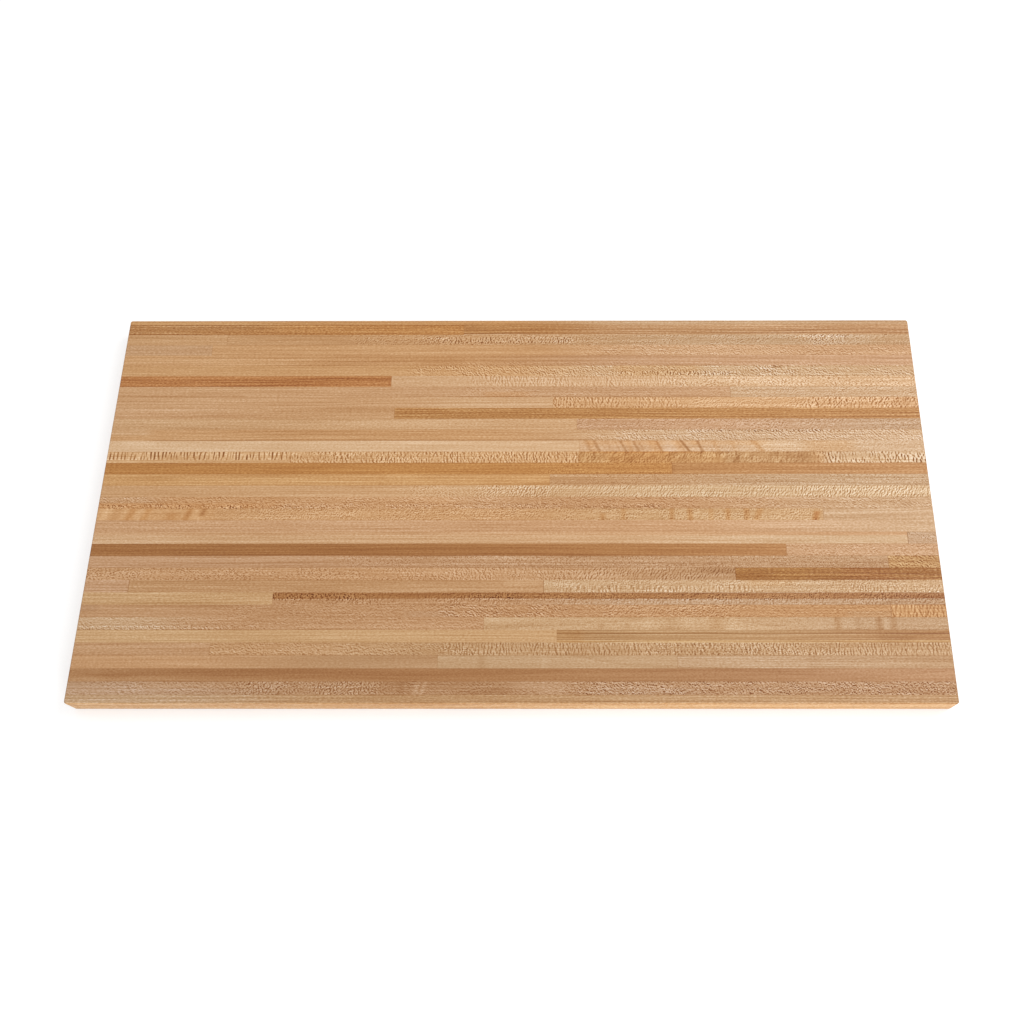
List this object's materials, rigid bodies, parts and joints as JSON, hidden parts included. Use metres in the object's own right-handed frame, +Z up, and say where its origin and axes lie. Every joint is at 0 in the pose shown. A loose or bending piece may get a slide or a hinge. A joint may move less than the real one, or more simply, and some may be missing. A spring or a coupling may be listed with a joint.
{
  "type": "butcher block table top",
  "caption": "Laminated maple butcher block top: a rectangular slab of edge-grain staves, finger-jointed end to end and glued side by side, with eased edges, to lie on a table base.",
  "frame": {"origin": "centre of the underside", "axes": "+X along the staves and the top's length, +Y from the front edge to the back edge, +Z up"},
  "size_m": [1.524, 0.762, 0.0444],
  "materials": {
    "tan_maple": "clear satin oil over sanded maple, long grain on the faces and end grain on the two ends",
    "cream_maple": "clear satin oil over sanded maple, long grain on the faces and end grain on the two ends",
    "amber_maple": "clear satin oil over sanded maple, long grain on the faces and end grain on the two ends",
    "maple_heartwood": "clear satin oil over sanded maple, long grain on the faces and end grain on the two ends"
  },
  "bodies": {
    "root": {"back_edge_strip": "tan_maple", "front_edge_strip": "tan_maple", "row_02_left_stave": "amber_maple", "row_02_right_stave": "amber_maple", "row_03_left_stave": "tan_maple", "row_03_right_stave": "tan_maple", "row_04_left_stave": "tan_maple", "row_04_right_stave": "tan_maple", "row_05_full_stave": "tan_maple", "row_06_full_stave": "tan_maple", "row_07_left_stave": "maple_heartwood", "row_07_right_stave": "cream_maple", "row_08_left_stave": "tan_maple", "row_08_right_stave": "cream_maple", "row_09_left_stave": "tan_maple", "row_09_right_stave": "tan_maple", "row_10_left_stave": "tan_maple", "row_10_right_stave": "amber_maple", "row_11_left_stave": "tan_maple", "row_11_right_stave": "tan_maple", "row_12_full_stave": "tan_maple", "row_13_left_stave": "cream_maple", "row_13_right_stave": "cream_maple", "row_14_left_stave": "cream_maple", "row_14_right_stave": "amber_maple", "row_15_left_stave": "amber_maple", "row_15_right_stave": "amber_maple", "row_16_left_stave": "amber_maple", "row_16_right_stave": "tan_maple", "row_17_full_stave": "cream_maple", "row_18_full_stave": "tan_maple", "row_19_left_stave": "tan_maple", "row_19_right_stave": "cream_maple", "row_20_full_stave": "tan_maple", "row_21_left_stave": "tan_maple", "row_21_right_stave": "tan_maple", "row_22_left_stave": "maple_heartwood", "row_22_right_stave": "tan_maple", "row_23_left_stave": "tan_maple", "row_23_right_stave": "amber_maple", "row_24_left_stave": "tan_maple", "row_24_right_stave": "maple_heartwood", "row_25_left_stave": "tan_maple", "row_25_middle_stave": "tan_maple", "row_25_right_stave": "cream_maple", "row_26_left_stave": "tan_maple", "row_26_right_stave": "maple_heartwood", "row_27_left_stave": "tan_maple", "row_27_right_stave": "amber_maple", "row_28_left_stave": "tan_maple", "row_28_right_stave": "tan_maple", "row_29_left_stave": "tan_maple", "row_29_right_stave": "amber_maple", "row_30_left_stave": "tan_maple", "row_30_right_stave": "tan_maple", "row_31_left_stave": "tan_maple", "row_31_middle_stave": "tan_maple", "row_31_right_stave": "tan_maple", "row_32_full_stave": "maple_heartwood", "row_33_full_stave": "tan_maple"}
  },
  "joints": []
}
